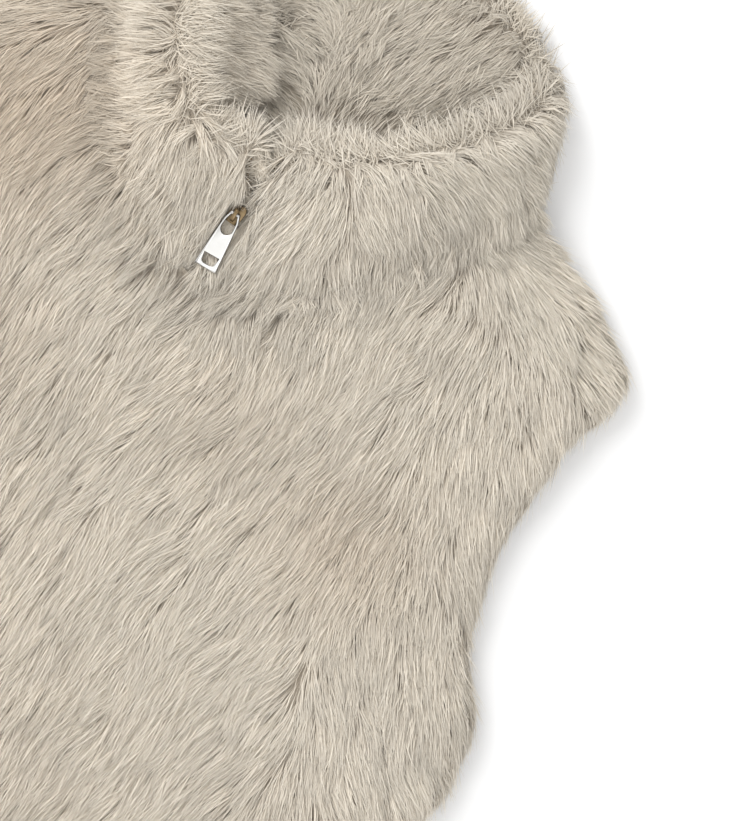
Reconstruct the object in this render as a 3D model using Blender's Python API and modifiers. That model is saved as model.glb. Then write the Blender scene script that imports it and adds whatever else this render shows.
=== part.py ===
"""Faux fur vest with a stand collar and a front zip, laid flat with its front up.

The vest lies on its back panel. X is across, +X the wearer's left side. Y runs up the
garment, from the hem to the collar's top. Z is up from the surface that it lies on.
All sizes are in millimetres, and each mesh is turned to metres as it is made. Every
cloth wall includes the pile of its fur.
"""

import math

import bmesh
import bpy
from mathutils import Matrix, Vector

MM = 0.001

# Driving sizes of the whole garment
TOTAL_LENGTH = 630.0
HEM_Y = -TOTAL_LENGTH / 2
COLLAR_TOP_Y = TOTAL_LENGTH / 2
CHEST_HALF_WIDTH = 247.0
SEAM_GAP = 0.3

# Pile thickness of the two lying layers
BACK_TOP_Z = 12.0
FRONT_BOTTOM_Z = BACK_TOP_Z + SEAM_GAP
FRONT_TOP_Z = 26.0
EDGE_ROUND = 16.0
SIDE_EDGE_Z = 7.0
SIDE_TOP_Z = 17.0

# Collar walls
COLLAR_PILE = 12.0
FOOT_SHARE = 0.42
FOOT_RISE = 0.32
FACING_FOOT_SHARE = 0.48
RIM_ROUND_START = 0.72
ROLL_PEAK = 0.22
ROLL_FULL_AT = 46.0
ROLL_FADE_Y = 226.0
ROLL_END_Y = 255.0
THINNEST_WALL = 0.9
# Pile thickness by the distance round the collar from the zip edge
OUTER_CROWN = ((0.0, 2.6), (4.8, 3.8), (15.6, 8.0), (30.0, COLLAR_PILE))
FACING_CROWN = ((0.0, 3.4), (4.8, 4.5), (15.6, 6.5))
FACING_CROWN_END = 30.0
ROLL_START_AT = 15.6
# Height shares at which the front edges open for the slider, and start to lean apart
NOTCH_START = 0.20
NOTCH_RISE = 0.13
LEAN_START = 0.52
LAYER_GAP = 0.15

# Zip: chain, tape, tooth rows, slider and pull tab
CHAIN_HALF_WIDTH = 2.9
CHAIN_HALF_THICK = 1.2
TAPE_INNER_X = 3.2
TAPE_WIDTH = 12.0
TAPE_HALF_THICK = 0.4
ZIP_Z = 13.6
ZIP_RISE_Y = 78.0
ZIP_FOOT_Y = 108.0
ZIP_FOOT_Z = 17.0
ZIP_BOTTOM_Y = -304.0
SLIDER_SHARE = 0.44
SLIDER_HALF_WIDTH = 4.3
SLIDER_LENGTH = 11.0
SLIDER_HALF_THICK = 2.3
SLIDER_LIFT = 1.4
NOTCH_HALF_WIDTH = SLIDER_HALF_WIDTH + 0.6
TAB_LENGTH = 31.5
TAB_THICK = 1.4
TAB_YAW = math.radians(5.0)
TAB_PITCH = math.radians(5.0)
BRIDGE_OPENING = 2.6
BRIDGE_BAR = 1.3
BRIDGE_WIDTH = 2.0

# One half of the body, a row for each level from the hem to the foot of the collar:
# its height at the centre front, and where it meets the side seam or the armhole
BODY_ROWS = (
    # centre_y, outer_x beyond the chest's half width, outer_y
    (HEM_Y, 5.0, HEM_Y),
    (-311.0, 5.3, -311.0),
    (-304.0, 5.5, -304.0),
    (-290.0, 5.5, -290.0),
    (-262.0, 5.0, -262.0),
    (-222.0, 4.0, -222.0),
    (-182.0, 3.0, -182.0),
    (-142.0, 2.0, -142.0),
    (-104.0, 1.5, -104.0),
    (-70.0, 1.0, -66.0),
    (-40.0, 1.5, -38.0),
    (-14.0, -2.0, -14.0),
    (8.0, -8.0, 6.0),
    (28.0, -21.0, 19.0),
    (46.0, -33.0, 36.0),
    (62.0, -41.0, 60.0),
    (78.0, -45.0, 74.0),
    (94.0, -47.5, 88.0),
)
# The armhole and the shoulder tip beside the neckline, from its foot to the shoulder
ARMHOLE_TOP = (
    # x, y
    (199.0, 101.0),
    (199.0, 126.0),
    (199.5, 146.0),
    (202.0, 159.0),
    (205.0, 171.0),
    (206.0, 181.0),
    (203.5, 187.5),
    (197.0, 195.0),
)
BACK_NECK_END_X = 88.0
NECK_TOP_LEVEL = 0.44
NECK_SPARE = 2.0
NECK_EDGE_Z = ZIP_FOOT_Z + CHAIN_HALF_THICK + SEAM_GAP
SHOULDER_BULGE = 5.0

# Columns of a body panel: distances in from the centre edge, shares of the open
# middle, and distances in from the side edge
CENTRE_COLUMNS = (0.0, 3.4, 4.4, 15.6, 17.0, 24.0)
MIDDLE_COLUMNS = (0.22, 0.44, 0.66, 0.86)
BACK_COLUMNS = (0.12, 0.3, 0.5, 0.7, 0.88)
NECK_COLUMN_STEP = 1.4
SIDE_COLUMNS = (24.0, 16.0, 9.0, 4.0, 1.2, 0.0)

# Largest soft ridges and troughs of the front: a line from a to b, its height
# (negative for a trough) and its half width
FRONT_FOLDS = (
    # side, ax, ay, bx, by, height, width
    (1, 146.0, 172.0, 190.0, 198.0, -3.2, 9.0),
    (1, 150.0, 196.0, 176.0, 206.0, 1.8, 9.0),
    (1, 205.0, -42.0, 232.0, 12.0, 2.2, 12.0),
    (1, 186.0, -20.0, 214.0, 34.0, -2.4, 10.0),
    (1, 60.0, 60.0, 150.0, -60.0, -2.0, 16.0),
    (1, 110.0, 120.0, 180.0, 40.0, 1.8, 18.0),
    (1, 70.0, -140.0, 200.0, -190.0, -2.0, 18.0),
    (1, 40.0, -220.0, 120.0, -290.0, 1.6, 18.0),
    (-1, 146.0, 180.0, 188.0, 198.0, -2.6, 9.0),
    (-1, 200.0, -50.0, 228.0, 8.0, 2.2, 12.0),
    (-1, 176.0, -30.0, 206.0, 30.0, -2.2, 11.0),
    (-1, 40.0, 40.0, 130.0, 90.0, -2.0, 16.0),
    (-1, 50.0, -80.0, 170.0, -30.0, 1.8, 18.0),
    (-1, 80.0, -200.0, 210.0, -150.0, -2.0, 18.0),
    (-1, 60.0, -270.0, 150.0, -230.0, 1.6, 18.0),
)

# Middle line of the collar wall, a row for each station from the centre front round
# the side to the centre back: where it is sewn to the neck, where it bellies out, its
# top rim, the thickness of the facing there, and how far its roll swells into the neck
COLLAR_FOOT = (
    # x, y, z
    (0.0, 108.0, 17.0),
    (26.0, 113.0, 17.0),
    (50.0, 132.0, 17.0),
    (68.0, 160.0, 17.0),
    (84.0, 192.0, 16.8),
    (99.0, 221.0, 14.8),
    (104.0, 236.0, 11.5),
    (93.0, 242.5, 7.6),
    (62.0, 239.0, 6.0),
    (0.0, 233.0, 6.0),
)
COLLAR_LEFT = (
    # belly_x, belly_y, belly_z, rim_x, rim_y, rim_z, facing, roll
    (0.0, 150.0, 30.0, 0.0, 191.0, 38.0, 8.0, 0.0),
    (24.0, 155.0, 31.0, 28.0, 199.0, 39.0, 9.0, 3.0),
    (50.0, 170.0, 32.0, 52.0, 216.0, 40.0, 9.0, 9.0),
    (76.0, 190.0, 32.0, 71.0, 238.0, 39.0, 8.5, 6.0),
    (95.0, 216.0, 31.0, 82.0, 257.0, 35.0, 7.5, 0.0),
    (107.0, 240.0, 26.0, 88.0, 272.0, 27.0, 4.5, 0.0),
    (107.0, 256.0, 18.0, 85.0, 285.0, 18.5, 4.0, 0.0),
    (95.0, 267.0, 12.3, 71.0, 299.0, 13.0, 6.0, 0.0),
    (60.0, 272.0, 11.6, 44.0, 309.5, 12.0, 9.0, 0.0),
    (0.0, 272.0, 11.6, 0.0, COLLAR_TOP_Y, 12.0, 9.0, 0.0),
)
COLLAR_RIGHT = (
    # belly_x, belly_y, belly_z, rim_x, rim_y, rim_z, facing, roll
    (0.0, 150.0, 30.0, 0.0, 191.0, 38.0, 8.0, 0.0),
    (27.0, 150.0, 34.0, 36.0, 173.0, 43.0, 9.0, 6.0),
    (56.0, 160.0, 38.0, 57.0, 186.0, 47.0, 9.0, 20.0),
    (79.0, 179.0, 39.0, 71.0, 205.0, 49.0, 9.0, 40.0),
    (93.0, 207.0, 38.0, 81.0, 230.0, 47.0, 9.0, 40.0),
    (106.0, 233.0, 31.0, 87.0, 255.0, 35.0, 6.0, 34.0),
    (107.0, 254.0, 20.0, 85.0, 278.0, 21.0, 4.2, 0.0),
    (95.0, 267.0, 12.3, 71.0, 298.0, 13.0, 6.0, 0.0),
    (60.0, 272.0, 11.6, 44.0, 309.5, 12.0, 9.0, 0.0),
    (0.0, 272.0, 11.6, 0.0, COLLAR_TOP_Y, 12.0, 9.0, 0.0),
)
# How far each half's front edge leans from the straight zip line at the rim
EDGE_LEAN = {
    1: Vector((0.0, 0.0, 0.0)),
    -1: Vector((7.0, -13.0, 3.0)),
}
COLLAR_LEVELS = (0.0, 0.05, 0.13, 0.22, 0.30, 0.37, 0.44, 0.55, 0.68, 0.80, 0.90, 0.965, 1.0)
COLLAR_COLUMNS = (0.0, 3.6, 4.8, 15.6, 17.2, 26.0)
RING_STEPS = 108
COLLAR_SHARES = (0.07, 0.15, 0.23, 0.31, 0.38, 0.44, 0.50, 0.55, 0.60, 0.65, 0.71, 0.80, 0.90, 1.0)

COLLECTION = bpy.data.collections.new("faux_fur_vest")


def clear_scene():
    for item in list(bpy.data.objects):
        bpy.data.objects.remove(item, do_unlink=True)
    bpy.context.scene.collection.children.link(COLLECTION)


def material(name, hex_colour, roughness, metallic):
    """A Principled material with one sRGB colour."""
    made = bpy.data.materials.new(name)
    made.use_nodes = True
    shader = made.node_tree.nodes["Principled BSDF"]
    channels = [int(hex_colour[i:i + 2], 16) / 255.0 for i in (0, 2, 4)]
    linear = [c / 12.92 if c <= 0.04045 else ((c + 0.055) / 1.055) ** 2.4 for c in channels]
    shader.inputs["Base Color"].default_value = (*linear, 1.0)
    shader.inputs["Roughness"].default_value = roughness
    shader.inputs["Metallic"].default_value = metallic
    return made


def smooth(t):
    """A soft step from 0 to 1 as t goes from 0 to 1."""
    t = min(1.0, max(0.0, t))
    return t * t * (3.0 - 2.0 * t)


def ramp(value, stops):
    """Value read from a short list of (place, amount) stops, straight between them."""
    if value <= stops[0][0]:
        return stops[0][1]
    for (a, low), (b, high) in zip(stops, stops[1:]):
        if value <= b:
            return low + (high - low) * (value - a) / (b - a)
    return stops[-1][1]


def add_object(name, mesh, finish, sharp_angle=40.0):
    mesh.materials.append(finish)
    mesh.shade_smooth()
    mesh.set_sharp_from_angle(angle=math.radians(sharp_angle))
    made = bpy.data.objects.new(name, mesh)
    COLLECTION.objects.link(made)
    return made


def closed_wall(name, outer, inner, finish, open_rows=0):
    """A closed wall between two grids of points, outer and inner, of the same size.

    Its first column stays open over the first open_rows rows, for a mirrored half.
    """
    mesh = bpy.data.meshes.new(name)
    shape = bmesh.new()
    grids = []
    for grid in (outer, inner):
        grids.append([[shape.verts.new(Vector(p) * MM) for p in row] for row in grid])
    top, under = grids
    rows = len(top)
    columns = len(top[0])
    for i in range(rows - 1):
        for j in range(columns - 1):
            shape.faces.new((top[i][j], top[i][j + 1], top[i + 1][j + 1], top[i + 1][j]))
            shape.faces.new((under[i][j], under[i + 1][j], under[i + 1][j + 1], under[i][j + 1]))
    for i in range(rows - 1):
        if i >= open_rows:
            shape.faces.new((top[i][0], top[i + 1][0], under[i + 1][0], under[i][0]))
        shape.faces.new((top[i + 1][-1], top[i][-1], under[i][-1], under[i + 1][-1]))
    for j in range(columns - 1):
        shape.faces.new((top[0][j + 1], top[0][j], under[0][j], under[0][j + 1]))
        shape.faces.new((top[-1][j], top[-1][j + 1], under[-1][j + 1], under[-1][j]))
    bmesh.ops.recalc_face_normals(shape, faces=shape.faces)
    shape.to_mesh(mesh)
    shape.free()
    return add_object(name, mesh, finish)


def curve_point(points, t):
    """A point on the smooth curve through a list of points, t from 0 to 1."""
    spans = len(points) - 1
    place = min(t * spans, spans - 1e-9)
    k = int(place)
    f = place - k
    before = points[max(k - 1, 0)]
    a = points[k]
    b = points[k + 1]
    after = points[min(k + 2, spans)]
    out = []
    for p0, p1, p2, p3 in zip(before, a, b, after):
        slope = 0.5 * (p2 - p0)
        next_slope = 0.5 * (p3 - p1)
        rise = p2 - p1
        out.append(p1 + f * (slope + f * (3 * rise - 2 * slope - next_slope
                                          + f * (slope + next_slope - 2 * rise))))
    return out


def bezier(a, b, c, h):
    return (1 - h) ** 2 * a + 2 * h * (1 - h) * b + h ** 2 * c


def edge_path(side, h):
    """The front edge of one collar half at the share h of its height."""
    foot = COLLAR_FOOT[0]
    row = COLLAR_LEFT[0]
    opening = smooth((h - NOTCH_START) / NOTCH_RISE)
    x = SEAM_GAP / 2 + (NOTCH_HALF_WIDTH - SEAM_GAP / 2) * opening
    y = bezier(foot[1], row[1], row[4], h)
    z = bezier(foot[2], row[2], row[5], h)
    lean = EDGE_LEAN[side] * smooth((h - LEAN_START) / (1.0 - LEAN_START))
    return x + lean.x, y + lean.y, z + lean.z


def collar_stations(side, h):
    """The stations of one half at height share h: x, y, z, facing pile and roll."""
    rows = COLLAR_LEFT if side > 0 else COLLAR_RIGHT
    stations = []
    for k, (foot, row) in enumerate(zip(COLLAR_FOOT, rows)):
        place = [bezier(foot[i], row[i], row[i + 3], h) for i in range(3)]
        if k == 0:
            place = list(edge_path(side, h))
        if k == len(rows) - 1:
            place[0] = SEAM_GAP / 2
        stations.append((*place, row[6], row[7]))
    return stations


def collar_point(side, t, h):
    return Vector(curve_point(collar_stations(side, h), t)[:3])


def collar_ring(side, h):
    """Dense points round one half at height share h, from centre front to centre back."""
    stations = collar_stations(side, h)
    steps = RING_STEPS
    return [curve_point(stations, i / steps) for i in range(steps + 1)]


def ring_length(ring):
    return sum(math.dist(a[:3], b[:3]) for a, b in zip(ring, ring[1:]))


def sample_ring(ring, distance):
    """The point at a distance along a dense ring, and its share of the ring's steps."""
    gone = 0.0
    last = len(ring) - 2
    for k, (a, b) in enumerate(zip(ring, ring[1:])):
        length = math.dist(a[:3], b[:3])
        if gone + length >= distance or k == last:
            f = min(1.0, max(0.0, (distance - gone) / length))
            place = [p + (q - p) * f for p, q in zip(a, b)]
            return place, (k + f) / RING_STEPS
        gone += length
    return ring[-1], 1.0


def outward_side(side, t, h):
    """The direction out of the neck, square to the collar's middle line."""
    along = collar_point(side, min(1.0, t + 0.02), h) - collar_point(side, max(0.0, t - 0.02), h)
    if t in (0.0, 1.0):
        along.y = 0.0
        along.z = 0.0
    up = collar_point(side, t, min(1.0, h + 0.04)) - collar_point(side, t, max(0.0, h - 0.04))
    if t == 0.0:
        up.x = 0.0
    return along.cross(up).normalized()


def ring_row(side, h):
    """Points of one level at the collar's columns, each with its outward direction."""
    ring = collar_ring(side, h)
    open_part = ring_length(ring) - COLLAR_COLUMNS[-1]
    distances = list(COLLAR_COLUMNS) + [COLLAR_COLUMNS[-1] + s * open_part for s in COLLAR_SHARES]
    row = []
    for distance in distances:
        place, t = sample_ring(ring, distance)
        if distance == distances[-1]:
            t = 1.0
        row.append((Vector(place[:3]), outward_side(side, t, h), distance, place[3], place[4]))
    return row


def foot_share(h, low):
    return low + (1.0 - low) * smooth(h / FOOT_RISE)


def rim_share(h):
    if h <= RIM_ROUND_START:
        return 1.0
    t = (h - RIM_ROUND_START) / (1.0 - RIM_ROUND_START)
    return math.sqrt(max(0.0, 1.0 - t * t))


def outer_pile(distance, h):
    """Thickness of the outer wall: thin at the zip, thick beyond it, round at the rim."""
    crown = ramp(distance, OUTER_CROWN)
    return max(THINNEST_WALL, crown * foot_share(h, FOOT_SHARE) * rim_share(h))


def facing_pile(distance, h, full):
    """Thickness of the facing's pile, square to the collar's middle line."""
    crown = ramp(distance, (*FACING_CROWN, (FACING_CROWN_END, full)))
    foot = crown * FACING_FOOT_SHARE
    thick = foot + (crown - foot) * smooth(h / 0.3)
    return max(THINNEST_WALL, thick * rim_share(h))


def facing_roll(distance, y, h, roll):
    """How far the facing's roll swells into the neck, most near its foot."""
    start = ramp(distance, ((ROLL_START_AT, 0.0), (ROLL_FULL_AT, 1.0)))
    end = 1.0 - smooth((y - ROLL_FADE_Y) / (ROLL_END_Y - ROLL_FADE_Y))
    swell = smooth(h / ROLL_PEAK) * min(1.0, (1.0 - h) / (1.0 - ROLL_PEAK))
    return max(0.0, roll) * start * end * swell


def zip_room(distance):
    """Half the room kept between the two collar walls for the chain and the tape."""
    return ramp(distance, ((3.6, CHAIN_HALF_THICK + SEAM_GAP), (4.8, TAPE_HALF_THICK + SEAM_GAP),
                           (15.6, TAPE_HALF_THICK + SEAM_GAP), (17.2, LAYER_GAP)))


def mirrored(point, side):
    return Vector((point[0] * side, point[1], point[2]))


def collar_layers(side, h):
    """Skin and hidden faces of the outer wall and of the facing, at one level."""
    layers = []
    for place, outward, distance, full, roll in ring_row(side, h):
        room = zip_room(distance)
        skin = place + outward * (room + outer_pile(distance, h))
        near = place + outward * room
        level = Vector((outward.x, outward.y, 0.0)).normalized()
        inside = place - outward * (room + facing_pile(distance, h, full))
        inside -= level * facing_roll(distance, place.y, h, roll)
        near_facing = place - outward * room
        skin.z = max(0.0, skin.z)
        if outward.z > 0.0 and place.z > FRONT_BOTTOM_Z:
            inside.z = max(inside.z, FRONT_BOTTOM_Z)
            near_facing.z = max(near_facing.z, FRONT_BOTTOM_Z + 0.5)
        layers.append((skin, near, inside, near_facing))
    return layers


def make_collar(side, name, facing_name, finish, facing_finish):
    grids = [[], [], [], []]
    for h in COLLAR_LEVELS:
        layers = collar_layers(side, h)
        for grid, points in zip(grids, zip(*layers)):
            grid.append([mirrored(point, side) for point in points])
    closed_wall(name, grids[0], grids[1], finish)
    closed_wall(facing_name, grids[2], grids[3], facing_finish)


def neck_outline(side):
    """Plan points just outside the collar's foot, and which of them is the shoulder."""
    foot = ring_row(side, 0.0)
    low_levels = [h for h in COLLAR_LEVELS if h <= NECK_TOP_LEVEL]
    layers = [collar_layers(side, h) for h in low_levels]
    points = []
    for k, (place, _, _, _, _) in enumerate(foot):
        before = foot[max(k - 1, 0)][0]
        after = foot[min(k + 1, len(foot) - 1)][0]
        along = Vector((after.x - before.x, after.y - before.y)).normalized()
        if k in (0, len(foot) - 1):
            along = Vector((1.0 if k == 0 else -1.0, 0.0))
        out = Vector((along.y, -along.x))
        reach = 0.0
        for level in layers:
            skin = level[k][0]
            if skin.z < FRONT_TOP_Z + NECK_SPARE:
                reach = max(reach, (skin.xy - place.xy).dot(out))
        points.append(place.xy + out * (reach + SEAM_GAP))
    shoulder = max(range(len(foot)), key=lambda k: foot[k][0].x)
    return points, shoulder


def back_neck():
    """The back panel's neckline, from the centre back out to the shoulder corner."""
    foot = ring_row(1, 0.0)
    front_points, shoulder = neck_outline(1)
    layers = [collar_layers(1, h) for h in COLLAR_LEVELS]
    points = []
    for k in range(len(foot) - 1, shoulder, -1):
        place = foot[k][0]
        if place.x > BACK_NECK_END_X:
            continue
        low = min(point.y for level in layers for point in level[k] if point.z < FRONT_BOTTOM_Z)
        points.append(Vector((place.x, min(low, place.y) - SEAM_GAP)))
    points.append(front_points[shoulder])
    return points


def neck_rows(side, front):
    """The neckline's points that start a panel's upper rows, ending at the shoulder."""
    if not front:
        return back_neck()
    points, shoulder = neck_outline(side)
    return [points[k] for k in range(shoulder + 1) if k not in (1, 2, 4)]


def zip_height(y):
    """Middle height of the zip under the front panels, rising to the collar's foot."""
    return ZIP_Z + (ZIP_FOOT_Z - ZIP_Z) * smooth((y - ZIP_RISE_Y) / (ZIP_FOOT_Y - ZIP_RISE_Y))


def fold_height(x, y, side):
    total = 0.0
    for fold_side, ax, ay, bx, by, height, width in FRONT_FOLDS:
        if fold_side != side:
            continue
        line = Vector((bx - ax, by - ay))
        t = min(1.0, max(0.0, Vector((x - ax, y - ay)).dot(line) / line.length_squared))
        away = (Vector((x, y)) - Vector((ax, ay)) - line * t).length
        total += height * math.exp(-(away / width) ** 2)
    return total


def panel_points(side, front):
    """Plan grid of one half panel: each point, and its distance from both row ends."""
    neck = neck_rows(side, front)
    ends = [Vector((x, y)) for x, y in ARMHOLE_TOP]
    starts = []
    last_y = BODY_ROWS[-1][0]
    lift = 0.0 if front else neck[0].y - 12.0 - last_y
    centre_x = SEAM_GAP / 2 if front else 0.0
    for centre_y, outer_x, outer_y in BODY_ROWS:
        share = smooth((centre_y - HEM_Y) / (last_y - HEM_Y))
        end = Vector((CHEST_HALF_WIDTH + outer_x, outer_y))
        starts.append((Vector((centre_x, centre_y + lift * share)), end))
    for k, point in enumerate(neck):
        start = point.copy()
        if k == 0:
            start.x = centre_x
        starts.append((start, Vector(curve_point(ends, k / (len(neck) - 1)))))
    grid = []
    for inner, outer in starts:
        length = (outer - inner).length
        along = (outer - inner) / length
        centre = [0.0]
        if front:
            for k, place in enumerate(CENTRE_COLUMNS[1:]):
                centre.append(max(place - inner.x, NECK_COLUMN_STEP * (k + 1)))
        middle = length - centre[-1] - SIDE_COLUMNS[0]
        shares = MIDDLE_COLUMNS if front else BACK_COLUMNS
        distances = centre + [centre[-1] + middle * share for share in shares]
        distances += [length - d for d in SIDE_COLUMNS]
        grid.append([(inner + along * d, d, length - d) for d in distances])
    top = grid[-1]
    first = top[0][0]
    last = top[-1][0]
    span = (last - first).length
    normal = Vector((first.y - last.y, last.x - first.x)).normalized()
    for k in range(1, len(top) - 1):
        t = (top[k][0] - first).length / span
        top[k] = (top[k][0] + normal * SHOULDER_BULGE * math.sin(math.pi * t) ** 2, *top[k][1:])
    return grid


def edge_round(distance):
    """Share of the full height at a distance in from a rounded edge."""
    t = min(1.0, max(0.0, distance / EDGE_ROUND))
    return math.sqrt(1.0 - (1.0 - t) ** 2)


def shoulder_distance(grid, i, j):
    return (grid[-1][j][0] - grid[i][j][0]).length


def make_front(side, name, finish):
    grid = panel_points(side, True)
    skin, under = [], []
    for i, row in enumerate(grid):
        skin_row, under_row = [], []
        for j, (point, from_centre, from_side) in enumerate(row):
            x, y = point
            high = min(edge_round(from_side), edge_round(y - HEM_Y),
                       edge_round(shoulder_distance(grid, i, j)))
            top = SIDE_TOP_Z + (FRONT_TOP_Z - SIDE_TOP_Z) * high
            top += fold_height(x, y, side) * high
            top -= ramp(from_centre, ((0.0, 3.0), (15.6, 0.8), (24.0, 0.0)))
            top = max(top, SIDE_TOP_Z - 1.0)
            low = FRONT_BOTTOM_Z
            if y < ZIP_FOOT_Y + 4.0:
                rise = zip_height(min(y, ZIP_FOOT_Y))
                low = ramp(x, ((3.5, rise + CHAIN_HALF_THICK + SEAM_GAP),
                               (4.6, rise + TAPE_HALF_THICK + 2 * SEAM_GAP),
                               (15.8, rise + TAPE_HALF_THICK + 2 * SEAM_GAP),
                               (17.2, FRONT_BOTTOM_Z)))
            if i >= len(BODY_ROWS):
                low = max(low, ramp(from_centre, ((4.5, NECK_EDGE_Z), (14.0, FRONT_BOTTOM_Z))))
            skin_row.append(mirrored((x, y, max(top, low + 1.2)), side))
            under_row.append(mirrored((x, y, low), side))
        skin.append(skin_row)
        under.append(under_row)
    closed_wall(name, skin, under, finish)


def make_back(name, finish):
    grid = panel_points(1, False)
    skin, under = [], []
    for i, row in enumerate(grid):
        skin_row, under_row = [], []
        for j, (point, from_centre, from_side) in enumerate(row):
            x, y = point
            high = min(edge_round(from_side), edge_round(y - HEM_Y),
                       edge_round(shoulder_distance(grid, i, j)))
            bottom = SIDE_EDGE_Z * (1.0 - high)
            skin_row.append(Vector((x, y, BACK_TOP_Z)))
            under_row.append(Vector((x, y, bottom)))
        skin.append(skin_row)
        under.append(under_row)
    made = closed_wall(name, skin, under, finish, open_rows=len(BODY_ROWS))
    mirror = made.modifiers.new("other half", "MIRROR")
    mirror.merge_threshold = 0.0001
    return made


def box_sweep(name, rows, finish):
    """A closed strip through rows of four corners, in order round its section."""
    outer = [[row[0], row[1]] for row in rows]
    inner = [[row[3], row[2]] for row in rows]
    return closed_wall(name, outer, inner, finish)


def body_zip_levels(bottom):
    """Heights up the front where the zip under the panels is given a row."""
    return [bottom] + [row[0] for row in BODY_ROWS if row[0] > bottom + 1.0]


def make_chain(finish):
    stations = [(y, zip_height(y)) for y in body_zip_levels(ZIP_BOTTOM_Y)]
    for h in COLLAR_LEVELS:
        if h < SLIDER_SHARE - 0.08:
            stations.append(edge_path(1, h)[1:])
    stations.append(edge_path(1, SLIDER_SHARE - 0.085)[1:])
    half = CHAIN_HALF_WIDTH
    thick = CHAIN_HALF_THICK
    rows = []
    for y, z in stations:
        rows.append(((-half, y, z + thick), (half, y, z + thick),
                     (half, y, z - thick), (-half, y, z - thick)))
    box_sweep("zip_chain", rows, finish)


def make_tape(side, name, finish):
    rows = []
    half = TAPE_HALF_THICK
    for y in body_zip_levels(HEM_Y + 4.0):
        z = zip_height(y)
        a = TAPE_INNER_X
        b = a + TAPE_WIDTH
        corners = ((a, y, z + half), (b, y, z + half), (b, y, z - half), (a, y, z - half))
        rows.append([mirrored(c, side) for c in corners])
    for h in COLLAR_LEVELS:
        if h > 0.9:
            continue
        ring = collar_ring(side, h)
        start = max(0.0, TAPE_INNER_X - ring[0][0])
        inner, start_t = sample_ring(ring, start)
        outer, end_t = sample_ring(ring, start + TAPE_WIDTH)
        a = Vector(inner[:3])
        b = Vector(outer[:3])
        up_a = outward_side(side, start_t, h) * half
        up_b = outward_side(side, end_t, h) * half
        corners = (a + up_a, b + up_b, b - up_b, a - up_a)
        rows.append([mirrored(c, side) for c in corners])
    box_sweep(name, rows, finish)


def make_tooth_row(side, name, finish):
    """The open teeth above the slider, along one collar edge."""
    rows = []
    width = 2.6
    for h in (0.53, 0.60, 0.68, 0.76, 0.84, 0.89):
        x, y, z = edge_path(side, h)
        b = x - SEAM_GAP
        a = b - width
        corners = ((a, y, z + CHAIN_HALF_THICK), (b, y, z + CHAIN_HALF_THICK),
                   (b, y, z - CHAIN_HALF_THICK), (a, y, z - CHAIN_HALF_THICK))
        rows.append([mirrored(c, side) for c in corners])
    box_sweep(name, rows, finish)


def slider_frame():
    """Place and slope of the slider on the zip line."""
    _, y0, z0 = edge_path(1, SLIDER_SHARE - 0.03)
    _, y1, z1 = edge_path(1, SLIDER_SHARE + 0.03)
    slope = math.atan2(z1 - z0, y1 - y0)
    _, y, z = edge_path(1, SLIDER_SHARE)
    return Vector((0.0, y, z + SLIDER_LIFT)), slope


def prism(name, outline, thickness, axis):
    """A closed block: an outline in two axes, given half its thickness each way."""
    shape = bmesh.new()
    lower, upper = [], []
    for u, v in outline:
        for side, bucket in ((-0.5, lower), (0.5, upper)):
            w = side * thickness
            point = (w, u, v) if axis == "X" else (u, v, w)
            bucket.append(shape.verts.new(Vector(point) * MM))
    shape.faces.new(lower)
    shape.faces.new(upper)
    count = len(outline)
    for k in range(count):
        n = (k + 1) % count
        shape.faces.new((lower[k], lower[n], upper[n], upper[k]))
    bmesh.ops.recalc_face_normals(shape, faces=shape.faces)
    mesh = bpy.data.meshes.new(name)
    shape.to_mesh(mesh)
    shape.free()
    return mesh


def make_slider(finish):
    """Slider body with the arched bridge that holds the pull tab."""
    half = SLIDER_HALF_WIDTH
    top = SLIDER_LENGTH / 2
    outline = ((-half + 1.2, -top), (half - 1.2, -top), (half - 0.4, -top + 3.0), (half, top - 3.4),
               (half - 0.7, top - 1.0), (half - 2.4, top), (1.0, top - 0.8), (-1.0, top - 0.8),
               (-half + 2.4, top), (-half + 0.7, top - 1.0), (-half, top - 3.4),
               (-half + 0.4, -top + 3.0))
    body = add_object("zip_slider", prism("zip_slider", outline, 2 * SLIDER_HALF_THICK, "Z"), finish)
    plate = SLIDER_HALF_THICK
    inner_top = plate + BRIDGE_OPENING
    outer_top = inner_top + BRIDGE_BAR
    arch = ((-4.3, plate - 1.0), (-4.3, plate + 1.6), (-3.0, outer_top - 0.3), (-2.0, outer_top),
            (2.0, outer_top), (3.0, outer_top - 0.3), (4.3, plate + 1.6), (4.3, plate - 1.0),
            (3.0, plate - 1.0), (3.0, plate + 1.4), (2.1, inner_top), (-2.1, inner_top),
            (-3.0, plate + 1.4), (-3.0, plate - 1.0))
    bridge = bpy.data.objects.new("bridge_shape", prism("bridge_shape", arch, BRIDGE_WIDTH, "X"))
    cutters = bpy.data.collections.new("cutters")
    bpy.context.scene.collection.children.link(cutters)
    cutters.objects.link(bridge)
    bridge.hide_render = True
    bridge.display_type = "WIRE"
    centre, slope = slider_frame()
    for item in (body, bridge):
        item.location = centre * MM
        item.rotation_euler = (slope, 0.0, 0.0)
    join = body.modifiers.new("bridge", "BOOLEAN")
    join.operation = "UNION"
    join.object = bridge
    return body


def tab_axis_point():
    centre, slope = slider_frame()
    local = Vector((0.0, 0.0, SLIDER_HALF_THICK + BRIDGE_OPENING / 2))
    return centre + Matrix.Rotation(slope, 3, "X") @ local


def rounded(points, centre, radius, start, end, steps):
    for i in range(steps + 1):
        angle = math.radians(start + (end - start) * i / steps)
        points.append((centre[0] + radius[0] * math.cos(angle), centre[1] + radius[1] * math.sin(angle)))


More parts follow.
